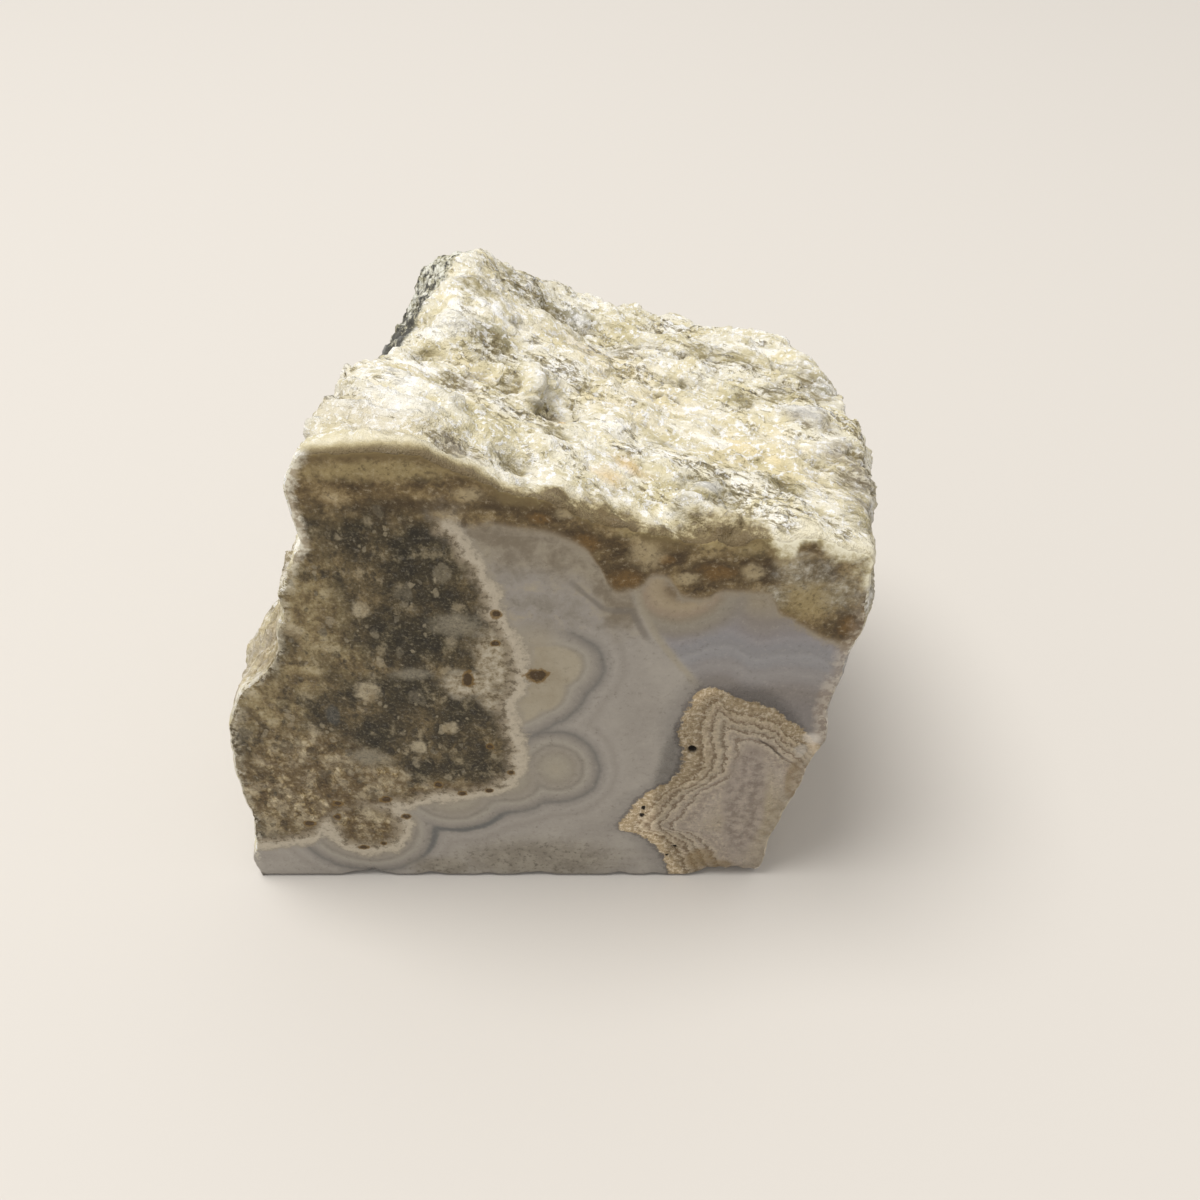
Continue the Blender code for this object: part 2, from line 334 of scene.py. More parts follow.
class Field:
    """A value, colour or place as it varies through the stone. Arithmetic on values adds Math nodes."""

    def __init__(self, tree, socket):
        self.tree = tree
        self.socket = socket

    def node(self, kind, settings, sockets, output=0):
        made = self.tree.nodes.new(kind)
        for name, value in settings.items():
            if name == "stops":
                set_stops(made.color_ramp, value)
            elif name == "points":
                set_points(made.mapping, value)
            else:
                setattr(made, name, value)
        for name, value in sockets.items():
            if isinstance(value, Field):
                self.tree.links.new(value.socket, made.inputs[name])
            else:
                made.inputs[name].default_value = value
        return Field(self.tree, made.outputs[output])

    def math(self, operation, *terms):
        return self.node("ShaderNodeMath", {"operation": operation}, dict(enumerate(terms)))

    def __add__(self, other):
        return self.math("ADD", self, other)

    __radd__ = __add__

    def __sub__(self, other):
        return self.math("SUBTRACT", self, other)

    def __rsub__(self, other):
        return self.math("SUBTRACT", other, self)

    def __mul__(self, other):
        return self.math("MULTIPLY", self, other)

    __rmul__ = __mul__

    def __truediv__(self, other):
        return self.math("DIVIDE", self, other)

    def __rtruediv__(self, other):
        return self.math("DIVIDE", other, self)

    def __neg__(self):
        return 0 - self

    def __abs__(self):
        return self.math("ABSOLUTE", self)

    def root(self):
        return self.math("SQRT", self)

    def least(self, other, soft=0.0):
        if soft:
            return self.math("SMOOTH_MIN", self, other, soft)
        return self.math("MINIMUM", self, other)

    def most(self, other, soft=0.0):
        if soft:
            return self.math("SMOOTH_MAX", self, other, soft)
        return self.math("MAXIMUM", self, other)

    def rise(self, start, end):
        """0 before start and 1 after end, eased between. With start above end it falls instead."""
        return self.node(
            "ShaderNodeMapRange", {"interpolation_type": "SMOOTHSTEP", "clamp": False},
            {"Value": self, "From Min": start, "From Max": end},
        )

    def line(self, middle, half_width):
        """1 on a line of this value, fading to 0 at half_width on either side."""
        return abs(self - middle).rise(half_width, half_width * 0.15)

    def follow(self, points):
        """The curve through these (in, out) pairs."""
        lowest, highest = points[0][0], points[-1][0]
        outs = [out for _, out in points]
        base, reach = min(outs), max(outs) - min(outs)
        scaled = [((a - lowest) / (highest - lowest), (b - base) / reach) for a, b in points]
        drawn = self.node(
            "ShaderNodeFloatCurve", {"points": scaled}, {"Value": (self - lowest) / (highest - lowest)}
        )
        return drawn * reach + base

    def painted(self, stops):
        """The colour at this value, from (value, colour) stops."""
        lowest, highest = stops[0][0], stops[-1][0]
        scaled = [((at - lowest) / (highest - lowest), paint) for at, paint in stops]
        return self.node(
            "ShaderNodeValToRGB", {"stops": scaled}, {"Fac": (self - lowest) / (highest - lowest)}
        )

    def over(self, under, paint):
        """This mask's share of paint laid over what is under it."""
        return self.node("ShaderNodeMix", {"data_type": "RGBA"}, {0: self, 6: under, 7: paint}, output=2)

    def vector(self, operation, *terms, output=0):
        return self.node("ShaderNodeVectorMath", {"operation": operation}, dict(enumerate(terms)), output)

    def also(self, output):
        """Another output of the node that this came from."""
        return Field(self.tree, self.socket.node.outputs[output])

    def part(self, index):
        return self.node("ShaderNodeSeparateXYZ", {}, {"Vector": self}, output=index)

    def cloud(self, size, detail=2.0, rough=0.5, output=0):
        """Soft noise on this place, with lumps of about this many millimetres. Runs from 0 to 1."""
        sockets = {"Vector": self, "Scale": 1 / size, "Detail": detail, "Roughness": rough}
        return self.node("ShaderNodeTexNoise", {}, sockets, output)

    def waver(self, amount, size, detail=2.0, rough=0.5):
        """Soft noise on this place that goes to both sides of zero, by up to about half the amount."""
        return (self.cloud(size, detail, rough) - 0.5) * amount

    def cells(self, size, output=0):
        """Crystal cells of about this many millimetres on this place."""
        return self.node("ShaderNodeTexVoronoi", {}, {"Vector": self, "Scale": 1 / size}, output)

    def away(self, centre, size):
        """Distance from a centre, in sizes of the oval round it."""
        shrink = tuple(1 / by for by in size)
        shift = tuple(-at / by for at, by in zip(centre, size))
        seen = self.vector("MULTIPLY_ADD", self, shrink, shift)
        return seen.vector("LENGTH", seen, output=1)

    def stirred(self, size, amount, detail=2.0):
        """The place pushed about by noise, by up to about half the amount."""
        push = self.vector("SUBTRACT", self.cloud(size, detail, output=1), (0.5, 0.5, 0.5))
        return self.vector("ADD", self, push.scaled(amount))

    def scaled(self, amount):
        return self.node("ShaderNodeVectorMath", {"operation": "SCALE"}, {0: self, "Scale": amount})


def set_stops(ramp, stops):
    for at, paint in stops[1:-1]:
        ramp.elements.new(at).color = paint
    ramp.elements[0].position, ramp.elements[0].color = stops[0]
    ramp.elements[-1].position, ramp.elements[-1].color = stops[-1]


def set_points(mapping, points):
    mapping.extend = "HORIZONTAL"
    curve = mapping.curves[0]
    curve.points[0].location = points[0]
    curve.points[1].location = points[-1]
    for place in points[1:-1]:
        curve.points.new(*place)
    mapping.update()


# The sawn face stands in the shade, so that its colours are mixed lighter, and the blue in them most.
SHADE_LIFT = (1.22, 1.26, 1.31)
MOST_BRIGHT = 0.95


def paint(red, green, blue, lift=SHADE_LIFT):
    """A colour from its 0 to 255 values."""
    def linear(value):
        value /= 255
        return value / 12.92 if value <= 0.04045 else ((value + 0.055) / 1.055) ** 2.4
    return (*[min(MOST_BRIGHT, linear(value) * by) for value, by in zip((red, green, blue), lift)], 1.0)


def pale(red, green, blue):
    """A colour for what stands in the light, as it is."""
    return paint(red, green, blue, (1.0, 1.0, 1.0))


QUARTZ_IOR = 1.54


def finish_named(name, roughness, shine):
    """A new finish on the lump: its node tree and surface, and the place on the stone in millimetres."""
    finish = bpy.data.materials.new(name)
    finish.use_nodes = True
    surface = finish.node_tree.nodes["Principled BSDF"]
    surface.inputs["Roughness"].default_value = roughness
    surface.inputs["IOR"].default_value = QUARTZ_IOR
    surface.inputs["Specular IOR Level"].default_value = shine
    lump.data.materials.append(finish)
    start = Field(finish.node_tree, None)
    metres = start.node("ShaderNodeTexCoord", {}, {}, output=3)
    return start, surface, metres.vector("SUBTRACT", metres, tuple(FOOT)).scaled(1 / MM)


def kept(start, name):
    """A value that the mesh keeps at each of its points."""
    return start.node("ShaderNodeAttribute", {"attribute_name": name}, {}, output=2)


def bumped(start, height):
    """The surface's lean over a height in millimetres."""
    return start.node("ShaderNodeBump", {}, {"Strength": 1.0, "Distance": MM, "Height": height})


def wear(surface, **finishes):
    """Gives the finish these fields, each under its socket's name."""
    for socket, field in finishes.items():
        field.tree.links.new(field.socket, surface.inputs[socket.replace("_", " ")])


DEEPEST_STRAY = 22


def strayed(place):
    """The place in the pattern, which wanders off from the sawn face's own with depth in the stone."""
    depth = place.part(1).least(DEEPEST_STRAY)
    roam = place.cloud(11, 1.0, output=1)
    roam = roam.vector("SUBTRACT", roam, (0.5, 0.5, 0.5)).scaled(depth * 0.75)
    return place.vector("ADD", place, roam)


def round_from(place, centre, size=(1, 1), reach=1000):
    """Distance from a line into the stone at an x and z, in sizes of the oval round it."""
    return place.away((centre[0], 0, centre[1]), (size[0], reach, size[1]))


def blots(place, rows, frayed, edge=0.35, ragged=0.5):
    """A mask of blots, each x, z, half width and half height, with edges frayed by this noise."""
    nearest = None
    for x, z, wide, tall in rows:
        distance = round_from(place, (x, z), (wide, tall), 9)
        nearest = distance if nearest is None else nearest.least(distance)
    return (nearest + (frayed - 0.5) * ragged).rise(1 + edge, 1 - edge)


def open_left(drawn, x, z, tall=1.0):
    """Distance round a centre to its right, and from a level line to its left."""
    beyond = (drawn.part(0) - x).most(0)
    level = (drawn.part(2) - z) / tall
    return (beyond * beyond + level * level).root()


def out_of_breccia(drawn):
    """Distance out of the breccia, in millimetres."""
    across, up = drawn.part(0), drawn.part(2)
    right = across - up.follow((
        (10, -7.4), (13.5, -7.6), (16.7, -6.6), (20.6, -6.8), (23.5, -7.2), (26, -6.5), (28, -6.0),
        (31.3, -6.1), (32.6, -6.9), (35.8, -7.8), (38.6, -8.4), (41, -9.4), (44, -10.8), (50, -12),
    ))
    below = across.follow((
        (-34, 4.4), (-28, 5.0), (-25.5, 7.5), (-21.8, 9.6), (-18.2, 10.4), (-15.2, 11.4), (-10.8, 12.2),
        (-8.2, 13.2), (-5, 15),
    )) - up
    return right.most(below, 1.5).least(round_from(drawn, (-21.8, 7.9)) - 4.2, 0.8)


def into_crust(drawn):
    """Height above the lower edge of the crust, in millimetres."""
    return drawn.part(2) - drawn.part(0).follow((
        (-26, 47.5), (-16, 46.5), (-12, 44.4), (-8, 43.2), (-4, 42.4), (-1.5, 41.2), (-0.1, 39.2),
        (0.6, 37.2), (1.6, 36.5), (3, 37), (4.6, 38.2), (6.5, 36), (8.3, 35.9), (9.3, 36.6),
        (12.8, 36.4), (14.1, 34.5), (16.6, 32.6), (18.6, 31.3), (24, 30),
    ))


def into_tan(drawn):
    """Distance into the tan patch, in millimetres."""
    left = drawn.part(0) - drawn.part(2).follow((
        (0, 7), (3.6, 5.8), (5.7, 4.5), (6.8, 3.3), (7.7, 1.6), (8.8, 2.1), (9.9, 2.7), (12.4, 4),
        (14.1, 6), (15.7, 7), (18.5, 7.2), (20.8, 6.8), (23.8, 7.3), (28, 9.5),
    ))
    above = drawn.part(0).follow((
        (5, 25), (7, 25.6), (8.6, 26.2), (10, 26.3), (11, 25.3), (13.3, 24.5), (14.9, 23.8), (16, 22.3),
        (17, 21.5), (18.6, 19.7), (22, 16),
    )) - drawn.part(2)
    return left.least(above, 0.6)


# How far the crust reaches over the top rim, by x. Below zero, the cream comes down the face instead.
CRUST_REACH = (
    (-26, 0.0), (-14, 0.1), (-9.7, 0.4), (-7.9, -0.1), (-5.7, -0.4), (-3.0, 0.8), (-1.9, 0.2),
    (0.8, 0.7), (2.7, 0.5), (3.9, -0.6), (6.1, 0.0), (8.6, 1.0), (11.4, 0.3), (13.0, -0.9),
    (14.3, -1.8), (15.6, -0.5), (17.9, -1.6), (20.1, -0.8), (25, -0.6),
)


def over_rim(place, past_rim):
    """How far past the end of the crust a place at this distance over the rim is."""
    across = place.part(0)
    fray = 0.8 + across.rise(-14, -5) * 1.8
    return past_rim - across.follow(CRUST_REACH) + place.waver(fray, 1.6, 5.0, 0.66)


def crest_tone(place, past_crust, colour):
    """The change from brown crust through olive to cream, soft on the left and grainy on the right."""
    right = place.part(0).rise(-12, -3)
    far_right = place.part(0).rise(11.5, 15)
    grainy = place.waver(0.8 + right * 2.8, 0.9, 5.0, 0.74)
    cloudy = past_crust * (1 - right * 0.5) + grainy + far_right * 1.1
    return cloudy.painted((
        (-1.4, colour(112, 93, 60)), (-0.5, colour(106, 89, 57)), (0.1, colour(108, 92, 60)),
        (0.5, colour(136, 121, 85)), (0.9, colour(182, 169, 132)), (1.6, colour(226, 218, 192)),
    ))


def at_top_rim(place):
    """1 along the top rim of the saw cut, down to a few millimetres under it."""
    under = place.part(2) - place.part(0).follow((
        (-26, 48.6), (-14, 48.6), (-9.7, 47.8), (-4, 45.2), (0.7, 43.5), (5, 42.9), (15, 42.6),
        (20, 41.4), (25, 40),
    ))
    return under.rise(-4.6, -3.2) * place.part(0).rise(-21.8, -20.2)


def lace(drawn):
    """The pale blue lace: level wavy bands of chalcedony, wide ones and thin ones between them."""
    ripple = ((drawn.part(0) - 11) / 3.2).follow((
        (-3, 1.2), (-1.2, 0.2), (-0.3, -0.9), (0.6, 0.5), (1.3, 0.1), (2.4, 1.6),
    ))
    level = drawn.part(2) + ripple
    wide = level.painted((
        (24, paint(117, 110, 105)), (26.2, paint(120, 112, 105)), (27.2, paint(127, 120, 115)),
        (28.2, paint(135, 129, 124)), (28.8, paint(130, 124, 120)), (29.4, paint(130, 126, 124)),
        (30.1, paint(136, 132, 130)), (30.6, paint(127, 123, 121)), (31.4, paint(128, 124, 123)),
        (32.1, paint(133, 127, 125)), (32.6, paint(127, 120, 117)), (33.6, paint(129, 121, 114)),
        (34.4, paint(126, 117, 108)), (35.2, paint(134, 124, 110)), (36.5, paint(137, 125, 105)),
    ))
    thin = (level * 8.5 + drawn.cloud(3, 1.0) * 7).math("SINE")
    thin = thin * level.rise(26, 27.5) * level.rise(34, 32.5)
    pale_bands = (thin.rise(0.3, 1.0) * 0.4).over(wide, paint(148, 145, 144))
    return (thin.rise(-0.3, -1.0) * 0.4).over(pale_bands, paint(112, 108, 108))


def tan_beds(place, in_tan):
    """The porous tan patch: thin beds that follow its border."""
    bedded = in_tan + place.waver(0.6, 1.2, 4.0, 0.7)
    tan = bedded.painted((
        (0.0, paint(160, 139, 106)), (0.8, paint(170, 149, 117)), (1.4, paint(164, 144, 114)),
        (1.8, paint(128, 106, 78)), (2.0, paint(190, 172, 142)), (2.5, paint(170, 150, 124)),
        (2.8, paint(120, 100, 76)), (3.0, paint(196, 179, 152)), (3.5, paint(168, 152, 130)),
        (3.8, paint(122, 102, 80)), (4.0, paint(198, 182, 158)), (4.6, paint(172, 156, 138)),
        (4.9, paint(128, 109, 89)), (5.1, paint(194, 179, 158)), (5.9, paint(168, 152, 136)),
        (7.0, paint(182, 167, 150)), (12, paint(176, 160, 133)),
    ))
    sandy = place.cloud(0.45, 5.0, 0.78)
    crumbly = 0.32 + 0.28 * bedded.rise(3.2, 1.2)
    tan = (sandy.rise(0.54, 0.63) * crumbly).over(tan, paint(104, 84, 58))
    tan = (sandy.rise(0.50, 0.41) * crumbly).over(tan, paint(226, 210, 184))
    core = round_from(place.stirred(2, 0.8), (13.2, 11.2), (1.9, 8.0), 14)
    chalky = place.cloud(0.9, 5.0, 0.66).rise(0.38, 0.62).over(paint(142, 127, 115), paint(182, 167, 152))
    return (core.rise(1.2, 0.8) * 0.85).over(tan, chalky)


# The two flat faces: sawn across the front and ground underneath, not polished, so that they are satin.
# The cut shows the whole of the rock, from left to right: dark breccia, its cream rim, banded grey
# chalcedony with a seam of blue lace, and a porous tan patch, all under a brown crust.

start, surface, place = finish_named("sawn_agate", 0.55, 0.25)
inner = strayed(place)
drawn = inner.stirred(5, 0.7).stirred(1.1, 0.3)
across, up = drawn.part(0), drawn.part(2)
off_breccia = out_of_breccia(drawn)
in_crust = into_crust(drawn)
in_tan = into_tan(drawn) + inner.waver(2.0, 0.8, 5.0, 0.74)
past_vein = across - up.follow((
    (20, 9.4), (26, 8.1), (27, 7.9), (28.7, 6.9), (30.6, 5.6), (32.6, 4.5), (35.2, 3.4), (38, 2.6),
))
hook = (
    (open_left(drawn, -3.9, 28.9) - 3.1)
    .least(round_from(drawn, (-5.4, 26.0)) - 3.1, 0.8)
    .least(round_from(drawn, (-7.3, 24.2)) - 2.9, 0.6)
)
off_lobes = (
    hook.least(round_from(drawn, (-3.9, 16.1), (0.88, 1.1)) - 3.3, 0.5)
    .least(round_from(drawn, (-8.6, 14.6)) - 3.7, 0.9)
    .least(round_from(drawn, (-13.4, 12.6)) - 4.2, 1.2)
    .least(round_from(drawn, (-21.9, 7.3)) - 5.3, 1.2)
)

# Banded chalcedony.
haze = inner.cloud(5, 3.0)
chalcedony = haze.rise(0.35, 0.65).over(paint(142, 134, 124), paint(153, 145, 134))
lobes = off_lobes.painted((
    (-3.6, paint(150, 140, 122)), (-2.2, paint(146, 137, 121)), (-1.5, paint(136, 127, 113)),
    (-1.0, paint(140, 131, 118)), (-0.6, paint(129, 121, 109)), (-0.15, paint(148, 140, 127)),
    (0.3, paint(139, 131, 120)), (0.8, paint(124, 117, 108)), (1.1, paint(111, 106, 99)),
    (1.45, paint(134, 127, 118)), (2.1, paint(148, 140, 130)), (2.8, paint(139, 131, 121)),
    (3.5, paint(148, 140, 130)), (4.4, paint(142, 134, 124)), (5.4, paint(146, 138, 128)),
))
lobe_root = across.rise(-2.2, -5.0) * up.rise(26.5, 28.5) * up.rise(36, 33.5)
chalcedony = (off_lobes.rise(5.2, 2.4) * (1 - lobe_root * 0.85)).over(chalcedony, lobes)
chalcedony = (lobe_root * 0.7).most(hook.rise(-0.2, -1.0)).over(
    chalcedony, haze.rise(0.42, 0.58).over(paint(144, 132, 111), paint(154, 143, 123)))
deep_line = off_lobes.line(1.15, 0.45) * across.rise(-7, -10) * across.rise(-18, -15.5)
chalcedony = (deep_line * 0.7).over(chalcedony, paint(88, 88, 85))
upper = up.rise(31.5, 34.5) * past_vein.rise(0, -1.2)
clouds = inner.stirred(2, 1.5).cloud(2.6, 5.0, 0.62)
chalcedony = (upper * 0.9).over(chalcedony, clouds.painted((
    (0.36, paint(124, 116, 104)), (0.46, paint(134, 126, 115)), (0.54, paint(141, 133, 124)),
    (0.66, paint(150, 139, 120)),
)))
ashy = (in_crust + inner.waver(3.0, 1.4, 3.0)).rise(-5.5, -1.5) * past_vein.rise(0, -1)
ashes = clouds.rise(0.4, 0.6).over(paint(116, 104, 86), paint(142, 131, 112))
chalcedony = (ashy * 0.9).over(chalcedony, ashes)
chalcedony = past_vein.rise(-0.3, 0.9).over(chalcedony, lace(drawn))
arcs = round_from(drawn, (6.2, 37.4))
chalcedony = (arcs.rise(6.2, 4.4) * past_vein.rise(-0.5, 0.4) * up.rise(30.6, 33)).over(
    chalcedony, arcs.painted((
        (0, paint(116, 101, 78)), (0.9, paint(112, 96, 73)), (1.5, paint(141, 125, 100)),
        (2.1, paint(150, 134, 109)), (2.9, paint(140, 124, 104)), (3.4, paint(131, 119, 101)),
        (4.0, paint(135, 126, 111)), (5.0, paint(127, 118, 106)), (5.6, paint(127, 120, 108)),
        (6.0, paint(142, 134, 121)),
    ))
)
chalcedony = (past_vein.line(-0.1, 0.6) * up.rise(25, 28) * 0.55).over(chalcedony, paint(146, 135, 114))
arch = up - across.follow(((-3, 38.4), (-1.7, 37.4), (-0.5, 36.1), (0.7, 35.2), (2.4, 35.0), (3.2, 34.6)))
dark_arc = (arch.line(0, 0.55) * across.rise(-3, -1.5) * across.rise(3.2, 2.4)).most(
    past_vein.line(-1.0, 0.6) * up.rise(31, 32.5) * up.rise(35.2, 34.6))
chalcedony = (dark_arc * 0.7).over(chalcedony, paint(108, 100, 90))
shade = across.rise(-2, 4) * (1 - across.rise(8, 12) * 0.65)
chalcedony = (in_tan.rise(-2.6, -0.5) * shade * 0.5).over(chalcedony, paint(112, 106, 99))
chalcedony = (in_tan.rise(-0.6, -0.1) * (0.3 + 0.6 * shade)).over(chalcedony, paint(98, 91, 85))
fray = inner.cloud(0.9, 3.0, 0.62)
wide_fray = inner.cloud(2.3, 4.0, 0.62)
cloudy = blots(inner, ((-6, 2.6, 7.5, 3.0), (-15, 1.5, 3, 1.6)), fray, 0.5, 0.6)
clouded = clouds.rise(0.42, 0.58).over(paint(118, 109, 94), paint(138, 129, 113))
chalcedony = (cloudy * 0.8).over(chalcedony, clouded)
specked = inner.cloud(0.5, 3.0, 0.65).rise(0.54, 0.64) * cloudy
chalcedony = (specked * 0.5).over(chalcedony, paint(84, 76, 64))

# Breccia: dark shards and sand set in brown, with charcoal areas and pale rounded pieces of all sizes.
upright = inner.vector("MULTIPLY", inner, (1, 1, 0.75))
shards = upright.stirred(1.4, 1.0, 4.0)
breccia = shards.cloud(2.8, 6.0, 0.74).painted((
    (0.30, paint(32, 27, 15)), (0.40, paint(47, 39, 23)), (0.48, paint(67, 56, 35)),
    (0.55, paint(90, 76, 50)), (0.62, paint(117, 100, 69)), (0.72, paint(150, 133, 101)),
))
blotch = upright.cloud(1.5, 5.0, 0.66)
olive = blots(inner, (
    (-22.8, 35.3, 2.6, 7.0), (-24.6, 28.0, 1.8, 2.6), (-15, 49.2, 7.5, 1.1), (-20.6, 30.5, 1.6, 3),
    (-28, 24, 3, 4),
), wide_fray, 0.6, 1.3)
breccia = (olive * 0.85).over(breccia, blotch.painted((
    (0.36, paint(78, 64, 40)), (0.46, paint(116, 98, 65)), (0.54, paint(142, 125, 88)),
    (0.66, paint(172, 157, 122)),
)))
beige = blots(inner, (
    (-26.0, 13.0, 6.0, 7.0), (-19.3, 14.5, 2.2, 1.8), (-14, 12.4, 5, 1.5), (-21, 8, 4, 3.4),
    (-18, 10.5, 5, 1.6),
), wide_fray, 0.5, 1.2)
breccia = (beige * 0.9).over(breccia, blotch.painted((
    (0.39, paint(74, 56, 27)), (0.45, paint(122, 101, 62)), (0.50, paint(166, 146, 107)),
    (0.58, paint(204, 187, 153)),
)))
charcoal = blots(inner, (
    (-13.5, 40.2, 3.3, 3.8), (-19.5, 44.5, 3.2, 1.7), (-14.8, 32.2, 5.0, 2.8), (-11.1, 23.6, 2.4, 1.7),
    (-19.6, 20.2, 2.6, 2.2), (-11.9, 16.6, 2.0, 1.6), (-16.3, 15.7, 1.2, 1.5), (-16, 26.5, 3.2, 2.0),
), wide_fray, 0.6, 1.5)
breccia = (charcoal * 0.82).over(breccia, blotch.painted((
    (0.36, paint(18, 15, 7)), (0.46, paint(32, 27, 15)), (0.55, paint(53, 46, 29)),
    (0.68, paint(104, 94, 71)),
)))
for size, share, strength in ((1.7, 0.12, 0.4), (0.85, 0.14, 0.5), (0.42, 0.08, 0.5)):
    away = shards.cells(size)
    tones = away.also(1)
    rounded = (away + (blotch - 0.5) * 1.2).rise(0.52, 0.28) * strength
    light_ones = tones.part(0).rise(1 - share, 1 - share * 0.5)
    dark_ones = tones.part(1).rise(share * 1.6, share * 0.8)
    breccia = (light_ones * rounded).over(breccia, paint(156, 143, 117))
    breccia = (dark_ones * rounded).over(breccia, paint(34, 29, 20))
    breccia = (away.rise(0.44, 0.62) * beige * 0.5).over(breccia, paint(80, 62, 36))
soft_bits = blots(inner, (
    (-11.4, 33.6, 1.9, 1.1), (-11.8, 27.5, 1.0, 0.9), (-15.5, 28.0, 1.6, 0.6), (-20.4, 17.6, 1.4, 1.0),
), fray, 0.6, 1.3)
breccia = (blotch.rise(0.55, 0.66) * (1 - charcoal * 0.5) * 0.5).over(breccia, paint(160, 145, 116))
breccia = (soft_bits * 0.7).over(breccia, paint(134, 125, 106))
bits = blots(inner, (
    (-19.4, 25.9, 1.0, 1.1), (-15.8, 18.9, 0.6, 0.8), (-12.9, 21.4, 0.6, 0.7), (-20.8, 9.8, 0.9, 1.2),
    (-19.2, 14.5, 0.7, 0.8), (-24.5, 33.0, 0.8, 0.7), (-18.7, 35.2, 0.6, 0.8), (-17.5, 14.9, 0.5, 0.7),
), fray, 0.4, 1.8)
bit_tone = blotch.rise(0.4, 0.56).over(paint(140, 124, 94), paint(174, 160, 132))
breccia = (bits * 0.7).over(breccia, bit_tone)
dark_slate = blots(inner, ((-22.7, 23.1, 0.6, 1.2),), fray, 0.3, 0.6)
breccia = (dark_slate * 0.8).over(breccia, paint(68, 66, 60))
light_slate = blots(inner, ((-11.8, 44.8, 1.1, 0.9),), fray, 0.4, 0.8)
breccia = (light_slate * 0.8).over(breccia, paint(104, 101, 93))
sand = inner.cloud(0.28, 3.0, 0.7)
breccia = (sand.rise(0.50, 0.68) * 0.45).over(breccia, paint(26, 22, 15))
breccia = (sand.rise(0.48, 0.30) * 0.2).over(breccia, paint(176, 164, 138))
dusty = blots(inner, (
    (-8.2, 29.6, 2.0, 3.4), (-10.8, 26.8, 2.2, 1.6), (-8.6, 24.6, 1.4, 1.4),
), wide_fray, 0.4, 1.6)
breccia = (dusty * 0.92).over(breccia, inner.cloud(0.8, 5.0, 0.72).painted((
    (0.36, paint(88, 75, 52)), (0.44, paint(134, 120, 95)), (0.51, paint(158, 145, 122)),
    (0.62, paint(178, 167, 146)),
)))

# The cream rim round the breccia, granular towards it.
rimmed = off_breccia + inner.waver(3.4, 2.0, 5.0, 0.74)
cream = rimmed.painted((
    (-2.6, paint(104, 92, 72)), (-1.6, paint(128, 115, 95)), (-1.0, paint(146, 133, 112)),
    (-0.5, paint(176, 164, 144)), (-0.1, paint(168, 156, 136)), (0.3, paint(142, 132, 116)),
    (0.9, paint(138, 129, 116)),
))
gritty = inner.cloud(0.7, 4.0, 0.7).rise(0.48, 0.58) * rimmed.rise(-0.2, -1.0)
cream = (gritty * 0.75).over(cream, paint(82, 70, 50))
stonework = rimmed.rise(0.1, 0.8).over(rimmed.rise(-2.3, -0.9).over(breccia, cream), chalcedony)

# Limonite: ragged golden-brown spots with a dark middle.
rust = blots(inner, (
    (-5.2, 27.8, 1.0, 0.75), (-10.9, 27.4, 0.5, 0.9), (-8.1, 34.7, 0.5, 0.45), (-14.5, 13.8, 0.4, 0.4),
    (-9.6, 19, 0.32, 0.32), (-10, 13, 0.3, 0.25), (-19.5, 11.8, 0.5, 0.4), (-24, 11.2, 0.5, 0.4),
    (-18, 9.3, 0.4, 0.4), (-22.5, 4.6, 0.5, 0.3), (-8.4, 31.5, 0.35, 0.3), (-7.9, 15.5, 0.3, 0.3),
    (-12.5, 12.6, 0.35, 0.3), (-24.3, 9.2, 0.3, 0.4), (-20.5, 5.2, 0.3, 0.25), (-27, 8.2, 0.5, 0.4),
), fray, 0.6, 1.9)
stonework = (rust.rise(0.15, 0.5) * 0.85).over(stonework, paint(108, 82, 36))
stonework = (rust.rise(0.55, 0.9) * 0.9).over(stonework, paint(56, 39, 16))

# The brown crust: soft clouds of brown with olive, dark, rusty and pale places laid in that order, and
# grey quartz showing on the right.
mottle = inner.stirred(2.0, 1.2, 3.0)
crust_fray = mottle.cloud(1.2, 3.0, 0.62)
crust = mottle.cloud(2.6, 5.0, 0.72).painted((
    (0.32, paint(54, 41, 23)), (0.41, paint(76, 60, 36)), (0.49, paint(98, 80, 51)),
    (0.56, paint(120, 101, 67)), (0.64, paint(146, 127, 92)), (0.74, paint(174, 156, 122)),
))
for rows, share, tint in (
    ((
        (8.6, 42.3, 2.0, 1.2), (11.4, 42.0, 1.6, 1.3), (16.4, 36.3, 2.6, 1.8), (-16, 48.6, 7, 0.8),
        (3, 43.2, 1.6, 0.9),
    ), 0.7, paint(154, 136, 94)),
    ((
        (2.0, 38.8, 1.8, 1.8), (-1.4, 42.0, 1.8, 1.3), (-7.2, 45.4, 2.2, 0.9), (8.8, 39.2, 2.4, 1.2),
        (5.0, 40.6, 1.6, 1.0), (12.6, 38.9, 1.6, 1.3), (-3.6, 44.6, 2.4, 0.7), (19.4, 33.6, 1.2, 1.4),
        (-14, 45.4, 4, 0.7),
    ), 0.85, paint(60, 45, 25)),
    ((
        (2.0, 38.2, 1.2, 0.9), (-1.1, 41.9, 1.0, 0.7), (9.0, 39.0, 1.4, 0.7), (-4.4, 44.3, 0.8, 0.5),
        (19.6, 33.4, 0.6, 1.0), (5, 40.3, 0.6, 0.4),
    ), 0.8, paint(108, 81, 42)),
    ((
        (11.7, 39.1, 0.8, 0.7), (3.6, 41.2, 1.2, 1.6), (-2.3, 44.8, 0.8, 0.5), (6.6, 38.3, 0.8, 0.5),
        (14.2, 40.2, 0.9, 0.9), (-9.6, 46.4, 1.0, 0.6),
    ), 0.6, paint(176, 158, 122)),
):
    crust = (blots(mottle, rows, crust_fray, 0.6, 1.4) * share).over(crust, tint)
